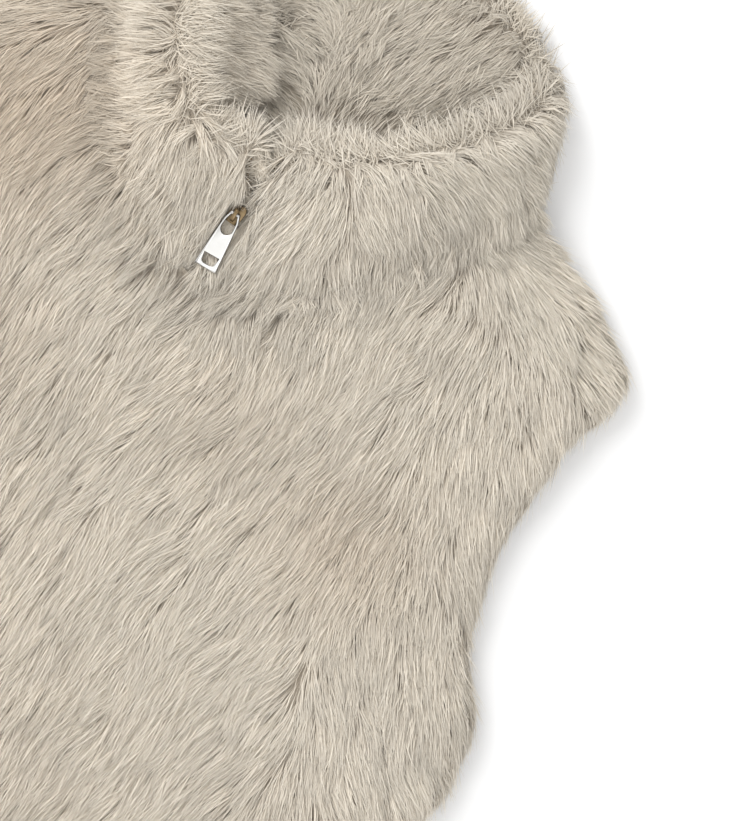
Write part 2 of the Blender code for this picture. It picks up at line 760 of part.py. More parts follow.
def make_pull_tab(finish):
    """Flat tapered tab: top bar in the bridge, an oval hole, and a window near its end."""
    bar = 0.8
    outline = [(-2.6, bar), (-4.0, -3.8), (-6.0, -TAB_LENGTH + bar + 0.5), (-5.5, -TAB_LENGTH + bar)]
    outline += [(-x, y) for x, y in reversed(outline)]
    hole = [(1.7, -0.8), (2.8, -3.9)]
    rounded(hole, (0.0, -8.0), (3.2, 3.6), 0.0, -180.0, 10)
    hole += [(-2.8, -3.9), (-1.7, -0.8)]
    window = [(-4.1, -23.6), (4.1, -23.6)]
    rounded(window, (1.6, -26.8), (2.0, 2.0), 0.0, -90.0, 4)
    rounded(window, (-1.6, -26.8), (2.0, 2.0), -90.0, -180.0, 4)
    tab = add_object("zip_pull_tab", prism("zip_pull_tab", outline, TAB_THICK, "Z"), finish)
    tab.location = tab_axis_point() * MM
    tab.rotation_euler = (TAB_PITCH, 0.0, TAB_YAW)
    cutters = bpy.data.collections["cutters"]
    for name, points in (("hole_cutter", hole), ("window_cutter", window)):
        cutter = bpy.data.objects.new(name, prism(name, points, 4 * TAB_THICK, "Z"))
        cutters.objects.link(cutter)
        cutter.hide_render = True
        cutter.display_type = "WIRE"
        cutter.location = tab.location
        cutter.rotation_euler = tab.rotation_euler
        cut = tab.modifiers.new(name, "BOOLEAN")
        cut.operation = "DIFFERENCE"
        cut.object = cutter
    return tab


def make_bottom_stop(finish):
    bpy.ops.mesh.primitive_cube_add(size=1.0)
    stop = bpy.context.object
    for collection in list(stop.users_collection):
        collection.objects.unlink(stop)
    stop.name = "zip_bottom_stop"
    stop.data.name = "zip_bottom_stop"
    stop.data.transform(Matrix.Diagonal((5.8 * MM, 4.0 * MM, 2.6 * MM, 1.0)))
    stop.location = (0.0, (ZIP_BOTTOM_Y - 2.4) * MM, ZIP_Z * MM)
    stop.data.materials.append(finish)
    COLLECTION.objects.link(stop)


def main():
    clear_scene()
    fur = material("faux_fur_greige", "c8bfaf", 0.85, 0.0)
    facing_fur = material("faux_fur_facing", "b8ae9f", 0.88, 0.0)
    tape = material("zip_tape_twill", "b7ab9a", 0.8, 0.0)
    brass = material("antique_brass", "a08a5c", 0.35, 1.0)
    steel = material("polished_nickel", "e6e5e2", 0.15, 1.0)
    make_back("back", fur)
    make_front(1, "front_left", fur)
    make_front(-1, "front_right", fur)
    make_collar(1, "collar_left", "collar_facing_left", fur, facing_fur)
    make_collar(-1, "collar_right", "collar_facing_right", fur, facing_fur)
    make_tape(1, "zip_tape_left", tape)
    make_tape(-1, "zip_tape_right", tape)
    make_chain(brass)
    make_tooth_row(1, "zip_row_left", brass)
    make_tooth_row(-1, "zip_row_right", brass)
    make_bottom_stop(brass)
    make_slider(brass)
    make_pull_tab(steel)


main()
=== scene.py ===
"""Looks of a sleeveless faux fur vest lying flat on a pale table.

Long greige pile covers the fronts, the back and the roll collar, and a shorter,
duller pile lines the collar. A small brass zip with a polished nickel pull tab
sits at the throat, half lost in the pile. Metres, +Z up, +X towards the wearer's
left, the hem at -Y. The pile is laid as joined strands on the CAD solids.
"""

import math
from collections import namedtuple

import bmesh
import bpy
import numpy as np
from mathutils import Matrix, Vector
from mathutils.bvhtree import BVHTree
from mathutils.kdtree import KDTree


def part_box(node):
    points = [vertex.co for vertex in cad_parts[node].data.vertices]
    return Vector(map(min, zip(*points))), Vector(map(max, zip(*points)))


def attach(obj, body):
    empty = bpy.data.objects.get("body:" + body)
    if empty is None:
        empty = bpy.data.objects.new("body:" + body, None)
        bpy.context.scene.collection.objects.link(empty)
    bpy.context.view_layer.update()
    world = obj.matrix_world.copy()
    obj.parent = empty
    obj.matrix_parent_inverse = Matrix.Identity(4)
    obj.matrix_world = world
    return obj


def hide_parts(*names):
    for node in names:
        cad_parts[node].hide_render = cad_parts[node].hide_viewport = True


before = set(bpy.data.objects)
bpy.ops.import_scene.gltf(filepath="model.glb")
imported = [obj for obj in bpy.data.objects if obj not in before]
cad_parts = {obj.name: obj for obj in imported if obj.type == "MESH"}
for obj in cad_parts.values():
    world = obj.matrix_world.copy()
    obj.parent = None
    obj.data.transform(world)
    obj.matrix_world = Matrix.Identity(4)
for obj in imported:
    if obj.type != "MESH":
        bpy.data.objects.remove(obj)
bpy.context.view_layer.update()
MM = 0.001
SEED = 29

# Pile directions. Each row is a place on the vest as it lies (x and y in mm) and
# the heading of the pile there: 0 degrees runs to the hem, + turns to the
# wearer's left. Between the places the headings blend by distance.
NAP_REACH = 30 * MM
NAP_FLOOR, NAP_SOFTENING = 1e-6, 0.1  # the small share by which far rows still count
BODY_NAP = (
    (-115, 155, -15), (-60, 120, -12), (-15, 115, -10), (-25, 10, 0), (30, -70, 0),
    (75, -135, -2), (60, 30, -8), (120, 60, -7), (110, -30, -6), (150, -100, -6),
    (45, 145, 35), (65, 115, 15), (80, 98, 3), (100, 130, -5), (130, 162, -4),
    (143, 143, 2), (156, 125, 11), (169, 106, 15), (149, 175, 40), (168, 148, 48),
    (188, 120, 52), (186, 161, 44), (161, 197, 85), (186, 200, 87), (199, 182, 75),
    (129, 203, 77), (200, 101, 12), (195, 70, 42), (176, 57, 15), (198, 45, 45),
    (202, 20, 34), (215, 2, 16), (234, 14, 64), (223, -48, 46), (241, -35, 58),
    (235, -120, 20), (200, -160, 2), (240, -220, 15), (120, -250, -4), (30, -250, 0),
)
COLLAR_NAP = (
    (2, 150, -45), (8, 160, -55), (12, 171, -70), (15, 183, -80), (28, 166, 38),
    (36, 178, 48), (-12, 163, 80), (-16, 174, 98), (-22, 184, 100),
    (55, 191, 60), (73, 204, 74), (92, 217, 62), (110, 230, 48), (14, 190, 93),
    (42, 210, 72), (60, 223, 140), (79, 236, 125), (91, 258, 80), (68, 173, 30),
    (86, 186, 20), (105, 199, 15), (60, 290, 100), (-89, 200, -65), (-76, 182, -88),
    (-63, 164, -62), (-58, 195, -20), (-45, 177, -5), (-78, 222, -70), (-35, 143, -12),
    (-15, 150, 20), (-6, 145, 45), (-95, 240, -75), (-60, 290, -100),
)
FACING_NAP = (
    (-60, 215, 125), (-45, 190, 115), (-40, 235, 135), (-28, 205, 115), (-25, 245, 92),
    (-20, 178, 80), (12, 271, -19), (16, 247, -22), (11, 215, -15), (60, 260, -30),
    (40, 225, -25), (-60, 270, 40), (30, 200, 20), (60, 225, 40),
)

# Openings and partings that the pile bridges, as (x, y, reach in mm): above the
# slider, below the tab, where the collar stands on the shoulder, and along its rim.
BRIDGES = (
    (-3, 150, 9), (-6, 160, 10), (-7, 171, 12), (-8, 183, 12), (11, 104, 12),
    (118, 224, 18), (-38, 219, 11), (-45, 235, 11), (-33, 206, 9), (-54, 188, 9),
    (-60, 203, 10), (-65, 220, 11), (-70, 238, 11), (46, 112, 8), (-50, 175, 6),
    (-58, 183, 6), (-66, 192, 6), (-73, 202, 6), (-80, 213, 6),
)
# Places where the pile is painted darker, mostly as shade in creases and beside the
# collar: x, y, reach in mm and how much.
PAINTED_SHADE_SPOTS = (
    (-116, 139, 62, 1.0), (-150, 60, 60, 0.5), (140, 43, 38, 0.6), (60, -150, 70, 0.25),
    (-40, -40, 70, 0.25), (55, 60, 40, 0.3), (-60, 30, 30, 0.3), (200, -120, 50, 0.2),
)

# Each row lays one pile: its solid, the part of it (all, under or neck), strands,
# their length and root depth in mm, the directions, a tuft's clumping, the tone.
PILE = (
    ("front_left", "all", 145000, 30, 3.6, BODY_NAP, 0.30, 0.00),
    ("front_right", "all", 104000, 30, 3.6, BODY_NAP, 0.30, 0.00),
    ("collar_left", "all", 52000, 26, 3.6, COLLAR_NAP, 0.30, -0.44),
    ("collar_right", "all", 54000, 28, 3.6, COLLAR_NAP, 0.30, -0.34),
    ("collar_facing_left", "all", 22000, 20, 3.0, FACING_NAP, 0.28, -0.06),
    ("collar_facing_right", "all", 33000, 23, 3.0, FACING_NAP, 0.28, -0.06),
    ("back", "under", 33000, 26, 4.0, BODY_NAP, 0.30, 0.00),
    ("back", "neck", 12000, 20, 3.0, FACING_NAP, 0.28, -0.10),
)
SOFT_NODES = list(dict.fromkeys(row[0] for row in PILE))
# What each collar piece meets along its rim.
RIMS = {
    "collar_left": ["collar_facing_left"],
    "collar_right": ["collar_facing_right"],
    "collar_facing_left": ["collar_left", "back"],
    "collar_facing_right": ["collar_right", "back"],
}

# One strand. It stands for a few fibres stuck together, as wide as the eye parts them.
STRAND_WIDTH = 0.50 * MM
WIDTH_RANGE = (0.7, 1.25)
REACH_RANGE = (0.62, 1.0)  # a strand's length as a share of its pile's
STRAND_TURN = 1.8 * MM  # sideways stray of a strand's tip
STRAND_WAVE = 0.5 * MM  # sideways bow of its middle
STRAND_ROLL = 0.55  # radians that its face strays from the skin
TIP_RISE = 1.6 * MM  # how far a tip stands above the solid's skin
TIP_RISE_RANGE = (0.6, 1.4)
TUFT_RISE = (0.2, 1.6)  # the least share of that, and what a tuft's rise adds to it
RISE_POWER = 0.55  # below 1, a strand leaves its root steeply and then lies down
LOOSE_SHARE = 0.10  # strands that stick out of the pile, and how far in mm
LOOSE_RISE = (1, 6)
STATIONS = (0.0, 0.5, 1.0)  # where its points lie: root, middle and tip
AHEAD = 0.2  # share of its length over which a strand's direction is taken
PIECE_STRANDS = 90000  # a piece stays under 200,000 triangles

# Locks gather tufts, and tufts gather strands.
LOCK_SPACING = 15.0 * MM
TUFT_SPACING = 4.2 * MM
FEWEST_LOCKS, FEWEST_TUFTS = 40, 80
LOCK_TURN = math.radians(8)  # how far one lock's heading strays from the nap
TUFT_TURN = math.radians(5)
LOCK_HOLD = 0.8  # share of its lock's stray turn that a tuft takes
LOCK_PULL = 0.34  # how far a tuft's tip is drawn to its lock's
LOCK_RADIUS = 1.6 * LOCK_SPACING  # tufts further off aren't drawn in
LOCK_TONE, OWN_TONE = 0.6, 0.8  # how a tuft's tone mixes its lock's and its own
LOCK_RISE, OWN_RISE = 0.6, 0.4
GUIDES = 3  # tufts that each strand follows, by distance and this softening
GUIDE_SOFTNESS = 0.3 * MM
CLUMP_POWER = 0.8

# How the pile runs over the skin.
WALK_STEPS = 6
STIFFNESS = 0.72  # share of its height above the skin that a strand keeps a step
DROOP = -0.30  # share of every heading that falls with the strand's weight
FACING_HOLD = 0.6  # share of the old facing that a strand keeps a step

# Seams, rims and the openings that the pile bridges.
SEAM_REACH = 6 * MM  # the pile stands up and spreads this near a seam or a rim
SEAM_RISE = 3.0 * MM
SEAM_RISE_RANGE = (0.2, 1.0)
SEAM_LIFT = 0.6  # share of its depth that a root is raised at a seam
SEAM_SHARE = 1.2  # how many more strands grow at a seam
RIM_SHARE = 1.9  # the same at a collar's rim
BRIDGE_SHARE = 3.0  # and at an opening that they bridge
COLLAR_LEVEL, BODY_LEVEL = 0.8, 0.3  # how level the pile leaves a seam
ALONE_FROM = 0.25  # this near a seam, a strand follows one tuft only
RIM_SPREAD = math.radians(38)  # how widely the pile fans out at a collar's rim
RIM_CROSS = 0.5  # share of the strands at a collar's rim that fall to its other side
RIM_PATCHES = (0.3, 1.7)  # that share's least, and what a tuft's rise adds to it
RIM_REACH = 10 * MM
CROSS_TUFT_TURN = 0.7  # share of their turn that comes from the tuft
CROSS_LENGTH = (0.35, 1.0)
CROSS_FALL = 0.4  # how far their tips fall, as a share of their length

# Tones, from 0 for dark to 1 for light.
MIDDLE_TONE, TUFT_TONE, STRAND_TONE = 0.5, 0.13, 0.16
FACING_PAINTED_LIGHT = 0.42  # painted light: the facing is lighter where it rolls up out of the neck
COLLAR_PAINTED_LIGHT = 0.38  # and painted light makes the collar lighter towards its rim
PAINTED_LIGHT_FROM, PAINTED_LIGHT_OVER = 20 * MM, 25 * MM  # the height where the painted light starts, and its reach
FOOT_PAINTED_SHADE = 0.42  # painted shade: the fronts are darker where the collar stands over them
FOOT_REACH = 11 * MM

VALUE_LOW, VALUE_SPREAD = 0.84, 0.32  # brightness at tone 0, and what tone 1 adds,
CLOUD_SPREAD = 0.16  # and what the clouds move it by in all
CLOUD_SIZE = 45 * MM

# The cloth under the pile, and what the pile keeps clear of.
SKIN_INSET = 3.2 * MM
WELD = 0.01 * MM
LONGEST_EDGE = 14.4 * MM  # faces are cut to this before strands are strewn
HIDDEN_GAP = 4 * MM  # a face with another cloth this close in front is hidden
NECK_SLOPE = 0.3  # the back's faces that look up more than this lie in the neck
TABLE_CLEARANCE = 0.25 * MM
TABLE_CLEARANCE_RANGE = (1, 4)
LOWEST_EDGE = 0.4 * TABLE_CLEARANCE
TAB_MARGIN = 0.6 * MM  # strands this near the pull tab pass below it
TAB_CLEARANCE = 0.5 * MM

# The greige of the photo: pale tips over a browner root.
TIP_COLOUR = "dfd8cb"
MIDDLE_COLOUR = "d5ccbd"
ROOT_COLOUR = "c2b7a7"
FACING_TIP, FACING_MIDDLE, FACING_ROOT = "d8d0c2", "cbc2b3", "b3a899"
GROUND_COLOUR = "b9ae9e"
# The warm darker tint that the painted shade spots multiply the pile by.
PAINTED_SHADE_TINT = "f0e9e2"
# The second colour of each of these pairs is painted shade in the grooves between the
# ribs.
TWILL_COLOUR, TWILL_PAINTED_SHADE = "b7ab9a", "968a79"
THREAD_COLOUR, THREAD_PAINTED_SHADE = "cfc4b2", "a99d8b"
BRASS_COLOUR, WORN_BRASS = "948062", "6b5a40"
# The last nickel colour is a painted dark reflection along the tab's eased rim.
NICKEL_COLOUR, WORN_NICKEL, NICKEL_PAINTED_EDGE = "f6f5f2", "efeeea", "5d5852"

# The zip.
TOOTH_PITCH = 2.1 * MM
TOOTH_SIZE = (2.5 * MM, 1.1 * MM, 1.5 * MM)
TOOTH_WAIST = 0.6
TOOTH_OFFSET = 1.1 * MM  # from the closed chain's middle line
STITCH_PITCH = 2.8 * MM
STITCH_SIZE = (0.45 * MM, 2.1 * MM, 0.4 * MM)
STITCH_LIFT = 0.45 * MM
BLOCK_EASE = 0.18  # share of a tooth's or a stitch's least size
METAL_EASE = 0.16 * MM
TAB_EASE = 0.28 * MM
FILM_SIZE, MARK_SIZE = 4 * MM, 0.4 * MM
EDGE_TURNED, EDGE_FLAT = 0.90, 0.99  # cosines between which the tab's painted dark edge reflection fades
FLAT_FROM = 0.8  # its faces that look up more than this are its flat top
RING_STEP = 0.6 * MM
RIB_PITCH, RIB_TURN = 0.8 * MM, math.radians(35)
WAVES_A_UNIT = 0.31  # makes the wave texture's scale one rib a pitch

# The photo's view and its light.
PHOTO_CENTRE = Vector((0.1115, 0.1025, 0.028))
PHOTO_TURN = math.radians(35)
CAMERA_HEIGHT = 1.368
TABLE_TOP = -0.4 * MM


# ---------------------------------------------------------------- materials


def linear_colour(hex_colour):
    """An sRGB hex colour as the linear RGBA that shaders take."""
    channels = [int(hex_colour[i : i + 2], 16) / 255 for i in (0, 2, 4)]
    linear = [
        c / 12.92 if c <= 0.04045 else ((c + 0.055) / 1.055) ** 2.4 for c in channels
    ]
    return (*linear, 1.0)


def add_node(tree, kind, settings=None, inputs=None):
    """A new node with its settings and inputs; an input given as a socket is linked."""
    node = tree.nodes.new(kind)
    for name, value in (settings or {}).items():
        setattr(node, name, value)
    for name, value in (inputs or {}).items():
        socket = node.inputs[name]
        if isinstance(value, bpy.types.NodeSocket):
            tree.links.new(value, socket)
        else:
            socket.default_value = value
    return node


def scaled(tree, socket, by, plus):
    """A node that gives the socket's value times by, plus plus."""
    return add_node(
        tree,
        "ShaderNodeMath",
        {"operation": "MULTIPLY_ADD"},
        {0: socket, 1: by, 2: plus},
    )


def new_material(name, **shader_inputs):
    """A node material with one Principled shader; returns it, its tree and shader."""
    material = bpy.data.materials.new(name)
    material.use_nodes = True
    tree = material.node_tree
    shader = tree.nodes["Principled BSDF"]
    for socket, value in shader_inputs.items():
        shader.inputs[socket.replace("_", " ").title()].default_value = value
    return material, tree, shader


def set_ramp(ramp, stops):
    """Gives a colour ramp node its stops, as (place, hex colour) rows."""
    elements = ramp.color_ramp.elements
    while len(elements) < len(stops):
        elements.new(0.5)
    for element, (place, colour) in zip(elements, stops):
        element.position = place
        element.color = linear_colour(colour)


def make_fur_material(name, stops):
    """Modacrylic pile: soft sheen, browner at the root, each strand its own tone."""
    material, tree, shader = new_material(name, roughness=0.62)
    shader.inputs["Specular IOR Level"].default_value = 0.28
    shader.inputs["Sheen Weight"].default_value = 0.30
    shader.inputs["Sheen Roughness"].default_value = 0.45
    along = add_node(tree, "ShaderNodeAttribute", {"attribute_name": "along"})
    tone = add_node(tree, "ShaderNodeAttribute", {"attribute_name": "tone"})
    ramp = add_node(tree, "ShaderNodeValToRGB", inputs={"Fac": along.outputs["Fac"]})
    set_ramp(ramp, stops)
    place = add_node(tree, "ShaderNodeTexCoord")
    # Cloudy patches, where the pile was brushed one way or another.
    clouds = add_node(
        tree,
        "ShaderNodeTexNoise",
        inputs={
            "Vector": place.outputs["Object"],
            "Scale": 1 / CLOUD_SIZE,
            "Detail": 2.0,
        },
    )
    value = scaled(tree, tone.outputs["Fac"], VALUE_SPREAD, VALUE_LOW)
    patch = scaled(tree, clouds.outputs["Fac"], CLOUD_SPREAD, -CLOUD_SPREAD / 2)
    both = add_node(
        tree,
        "ShaderNodeMath",
        {"operation": "ADD"},
        {0: value.outputs[0], 1: patch.outputs[0]},
    )
    # Painted shade: strands in the shaded spots are multiplied by a darker warm tint.
    painted_shade = add_node(tree, "ShaderNodeAttribute", {"attribute_name": "painted_shade"})
    shade_mix = add_node(
        tree,
        "ShaderNodeMix",
        {"data_type": "RGBA", "blend_type": "MULTIPLY"},
        {
            0: painted_shade.outputs["Fac"],
            6: ramp.outputs["Color"],
            7: linear_colour(PAINTED_SHADE_TINT),
        },
    )
    tinted = add_node(
        tree,
        "ShaderNodeHueSaturation",
        inputs={"Color": shade_mix.outputs[2], "Value": both.outputs[0]},
    )
    tree.links.new(tinted.outputs["Color"], shader.inputs["Base Color"])
    return material


def make_metal(name, colour, roughness, worn, metallic=1.0, edge=None):
    """Cast and plated metal: fine tumbling marks, and a duller film in patches.

    edge is a colour painted as a dark reflection where the surface turns away from the
    plate's flat face.
    """
    material, tree, shader = new_material(name, metallic=metallic)
    place = add_node(tree, "ShaderNodeTexCoord")
    film = add_node(
        tree,
        "ShaderNodeTexNoise",
        inputs={
            "Vector": place.outputs["Object"],
            "Scale": 1 / FILM_SIZE,
            "Detail": 3.0,
        },
    )
    tint = add_node(tree, "ShaderNodeValToRGB", inputs={"Fac": film.outputs["Fac"]})
    set_ramp(tint, ((0.3, worn), (0.6, colour)))
    shown = tint.outputs["Color"]
    # A painted dark reflection where the plate's rim turns away from its flat face.
    if edge:
        level = add_node(
            tree,
            "ShaderNodeVectorMath",
            {"operation": "DOT_PRODUCT"},
            {0: place.outputs["Normal"], 1: flat_normal("zip_pull_tab")},
        )
        either_face = add_node(
            tree,
            "ShaderNodeMath",
            {"operation": "ABSOLUTE"},
            {0: level.outputs["Value"]},
        )
        flat = add_node(
            tree,
            "ShaderNodeMapRange",
            inputs={
                "Value": either_face.outputs[0],
                "From Min": EDGE_TURNED,
                "From Max": EDGE_FLAT,
            },
        )
        blend = add_node(
            tree,
            "ShaderNodeMix",
            {"data_type": "RGBA"},
            {0: flat.outputs["Result"], 6: linear_colour(edge), 7: shown},
        )
        shown = blend.outputs[2]
    tree.links.new(shown, shader.inputs["Base Color"])
    dull = add_node(
        tree,
        "ShaderNodeMapRange",
        inputs={
            "Value": film.outputs["Fac"],
            "To Min": roughness * 1.5,
            "To Max": roughness * 0.8,
        },
    )
    tree.links.new(dull.outputs["Result"], shader.inputs["Roughness"])
    marks = add_node(
        tree,
        "ShaderNodeTexNoise",
        inputs={"Vector": place.outputs["Object"], "Scale": 1 / MARK_SIZE},
    )
    bump = add_node(
        tree,
        "ShaderNodeBump",
        inputs={
            "Strength": 0.05,
            "Distance": 0.05 * MM,
            "Height": marks.outputs["Fac"],
        },
    )
    tree.links.new(bump.outputs["Normal"], shader.inputs["Normal"])
    return material


def flat_normal(node):
    """The mean direction of a CAD node's upward faces."""
    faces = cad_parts[node].data.polygons
    upward = [face for face in faces if face.normal.z > FLAT_FROM]
    return sum((face.normal * face.area for face in upward), Vector()).normalized()


def make_twill(name, colour, dark):
    """Woven or spun polyester: diagonal ribs at RIB_PITCH, drawn coarser to show, with
    painted shade in their grooves.
    """
    material, tree, shader = new_material(name, roughness=0.85)
    place = add_node(tree, "ShaderNodeTexCoord")
    turned = add_node(
        tree,
        "ShaderNodeMapping",
        inputs={"Vector": place.outputs["Object"], "Rotation": (0, 0, RIB_TURN)},
    )
    ribs = add_node(
        tree,
        "ShaderNodeTexWave",
        inputs={
            "Vector": turned.outputs["Vector"],
            "Scale": WAVES_A_UNIT / RIB_PITCH,
            "Distortion": 1.0,
            "Detail": 1.0,
        },
    )
    # The ramp's dark stop is painted shade in the grooves between the ribs.
    tint = add_node(tree, "ShaderNodeValToRGB", inputs={"Fac": ribs.outputs["Fac"]})
    set_ramp(tint, ((0.1, dark), (0.8, colour)))
    tree.links.new(tint.outputs["Color"], shader.inputs["Base Color"])
    bump = add_node(
        tree,
        "ShaderNodeBump",
        inputs={"Strength": 0.6, "Distance": 0.1 * MM, "Height": ribs.outputs["Fac"]},
    )
    tree.links.new(bump.outputs["Normal"], shader.inputs["Normal"])
    return material


# ---------------------------------------------------------------- solids


def merged_solid(node):
    """A welded copy of a CAD node's triangles, cut where they are over LONGEST_EDGE."""
    solid = bmesh.new()
    solid.from_mesh(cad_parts[node].data)
    bmesh.ops.remove_doubles(solid, verts=solid.verts, dist=WELD)
    for _ in range(3):
        long_edges = [e for e in solid.edges if e.calc_length() > LONGEST_EDGE]
        if not long_edges:
            break
        bmesh.ops.subdivide_edges(solid, edges=long_edges, cuts=1)
        bmesh.ops.triangulate(solid, faces=solid.faces)
    solid.normal_update()
    return solid


def exposed_faces(solid, others):
    """True for each face with no other solid close in front of it."""
    shown = []
    for face in solid.faces:
        start = face.calc_center_median() + face.normal * 0.05 * MM
        shown.append(
            all(
                tree.ray_cast(start, face.normal, HIDDEN_GAP)[0] is None
                for tree in others
            )
        )
    return np.array(shown)


def skin_normals(solid, shown):
    """Area-weighted normals at the corners, from the exposed faces alone."""
    normals = np.zeros((len(solid.verts), 3))
    for face, seen in zip(solid.faces, shown):
        if seen:
            for corner in face.verts:
                normals[corner.index] += np.array(face.normal) * face.calc_area()
    length = np.linalg.norm(normals, axis=1, keepdims=True)
    return normals / np.maximum(length, 1e-12)


def solid_trees():
    """A search tree of each soft solid's own faces."""
    trees = {}
    for node in SOFT_NODES:
        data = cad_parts[node].data
        data.calc_loop_triangles()
        trees[node] = BVHTree.FromPolygons(
            [v.co.copy() for v in data.vertices],
            [tuple(t.vertices) for t in data.loop_triangles],
        )
    return trees


# ---------------------------------------------------------------- pile

# What one pile grows on: its own surface, a search tree of all skins, one of the
# other cloths and one of its rim, its directions, and how level it leaves a seam.
Ground = namedtuple("Ground", "surface skin neighbours rim nap level_share")
Locks = namedtuple("Locks", "spots turn path tone rise")
Tufts = namedtuple("Tufts", "spots seam path facing tone rise")


def strew(corners, normals, faces, count, rng, weight=1.0):
    """Random places on the faces, by area and weight, and the normals there."""
    a, b, c = (corners[faces[:, i]] for i in range(3))
    areas = np.linalg.norm(np.cross(b - a, c - a), axis=1) * weight
    chosen = rng.choice(len(faces), count, p=areas / areas.sum())
    u, v = rng.random((2, count, 1))
    flip = u + v > 1
    u, v = np.where(flip, 1 - u, u), np.where(flip, 1 - v, v)
    w = 1 - u - v
    tri = faces[chosen]
    spots = w * corners[tri[:, 0]] + u * corners[tri[:, 1]] + v * corners[tri[:, 2]]
    lean = w * normals[tri[:, 0]] + u * normals[tri[:, 1]] + v * normals[tri[:, 2]]
    return spots, unit(lean)


def unit(vectors):
    """Vectors of length one."""
    return vectors / np.maximum(np.linalg.norm(vectors, axis=-1, keepdims=True), 1e-9)


def mirrored_nap(table):
    """The pile directions, with the far side's places mirrored from the near side."""
    rows = list(table)
    if table is BODY_NAP:
        rows += [(-x, y, -heading) for x, y, heading in table if x > 100]
    return np.array(rows, float)


def nap_at(spots, table):
    """The pile's heading in radians at each place."""
    heading = np.radians(table[:, 2])
    arrows = np.stack([np.sin(heading), -np.cos(heading)], 1)
    apart = ((spots[:, None, :2] - table[None, :, :2] * MM) ** 2).sum(2)
    far = NAP_FLOOR / (apart / NAP_REACH**2 + NAP_SOFTENING)
    weight = np.exp(-apart / NAP_REACH**2) + far
    blend = weight @ arrows
    return np.arctan2(blend[:, 0], -blend[:, 1])


def nearness(spots, x, y, reach):
    """1 at a place given in mm, falling to 0 past its reach."""
    apart = ((spots[:, :2] - np.array([x, y]) * MM) ** 2).sum(1)
    return np.exp(-apart / (reach * MM) ** 2)


def bridged(spots):
    """1 at an opening that the pile bridges, falling to 0 away from it."""
    return np.max([nearness(spots, *row) for row in BRIDGES], axis=0)


def walk(ground, starts, normals, turn, length):
    """Follows the pile over the skin from each start, turned by turn radians.

    Near a seam, by the ground's level share, and at an opening the pile runs on level.
    Returns the places and normals at WALK_STEPS + 1 even steps.
    """
    path, facing = [starts], [normals]
    for _ in range(WALK_STEPS):
        here, up = path[-1], facing[-1]
        at_seam = seam_nearness(here, ground.neighbours)
        level = np.maximum(ground.level_share * at_seam, bridged(here))[:, None]
        up = unit(up * (1 - level) + np.array([0, 0, 1]) * level)
        heading = nap_at(here, ground.nap) + turn
        fall = DROOP * (1 - level[:, 0])
        arrow = np.stack([np.sin(heading), -np.cos(heading), fall], 1)
        arrow -= (arrow * up).sum(1, keepdims=True) * up
        ahead = here + unit(arrow) * (length / WALK_STEPS)
        landed, tilt = np.empty_like(ahead), np.empty_like(ahead)
        for i, spot in enumerate(ahead):
            place, normal, _, _ = ground.skin.find_nearest(Vector(spot))
            landed[i], tilt[i] = place, normal
        above = ahead - landed
        outside = (above * tilt).sum(1, keepdims=True) > 0
        stiff = STIFFNESS + (1 - STIFFNESS) * level
        path.append(landed + np.where(outside, stiff, 0.0) * above)
        facing.append(unit(FACING_HOLD * up + (1 - FACING_HOLD) * tilt))
    return np.stack(path, 1), np.stack(facing, 1)


def nearest(spots, centres, how_many=1):
    """The nearest centres to each spot: their indices and their shares by distance."""
    tree = KDTree(len(centres))
    for i, centre in enumerate(centres):
        tree.insert(centre, i)
    tree.balance()
    found = [tree.find_n(spot, how_many) for spot in spots]
    index = np.array([[hit[1] for hit in row] for row in found])
    apart = np.array([[hit[2] for hit in row] for row in found])
    share = 1 / (apart**2 + GUIDE_SOFTNESS**2)
    return index, share / share.sum(1, keepdims=True)


def sample(paths, share):
    """Points of each path at a share of its length (0 to 1), one share a path."""
    at = np.clip(share, 0, 1) * WALK_STEPS
    low = np.minimum(at.astype(int), WALK_STEPS - 1)
    mix = (at - low)[:, None]
    row = np.arange(len(paths))
    return paths[row, low] * (1 - mix) + paths[row, low + 1] * mix


def under_tab(points):
    """Keeps strands below the pull tab, from where they first reach it."""
    low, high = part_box("zip_pull_tab")

    def within(spots):
        flat, edge = spots[..., :2], TAB_MARGIN
        past_low = flat > np.array(low)[:2] - edge
        return (past_low & (flat < np.array(high)[:2] + edge)).all(-1)

    inside = within(points)
    middle = within((points[:, :-1] + points[:, 1:]) / 2)
    inside[:, 1:] |= middle
    inside[:, :-1] |= middle
    ceiling = np.minimum(points[..., 2], low.z - TAB_CLEARANCE)
    points[..., 2] = np.where(inside, ceiling, points[..., 2])
    return points


def seam_nearness(spots, neighbours, reach=SEAM_REACH):
    """1 on a seam with another cloth, falling to 0 away from it."""
    apart = np.array([neighbours.find_nearest(Vector(spot))[3] for spot in spots])
    return np.exp(-((apart / reach) ** 2))


def area_of(surface):
    """The area of a surface, given as its corners, normals and faces."""
    corners, _, faces = surface
    a, b, c = (corners[faces[:, i]] for i in range(3))
    return 0.5 * np.linalg.norm(np.cross(b - a, c - a), axis=1).sum()


def lay_locks(ground, length, rng):
    """The big locks of a pile."""
    count = max(FEWEST_LOCKS, int(area_of(ground.surface) / LOCK_SPACING**2))
    spots, up = strew(*ground.surface, count, rng)
    turn = rng.normal(0, LOCK_TURN, count)
    path, _ = walk(ground, spots, up, turn, length)
    return Locks(spots, turn, path, rng.normal(0, 1, count), rng.random(count) ** 2)


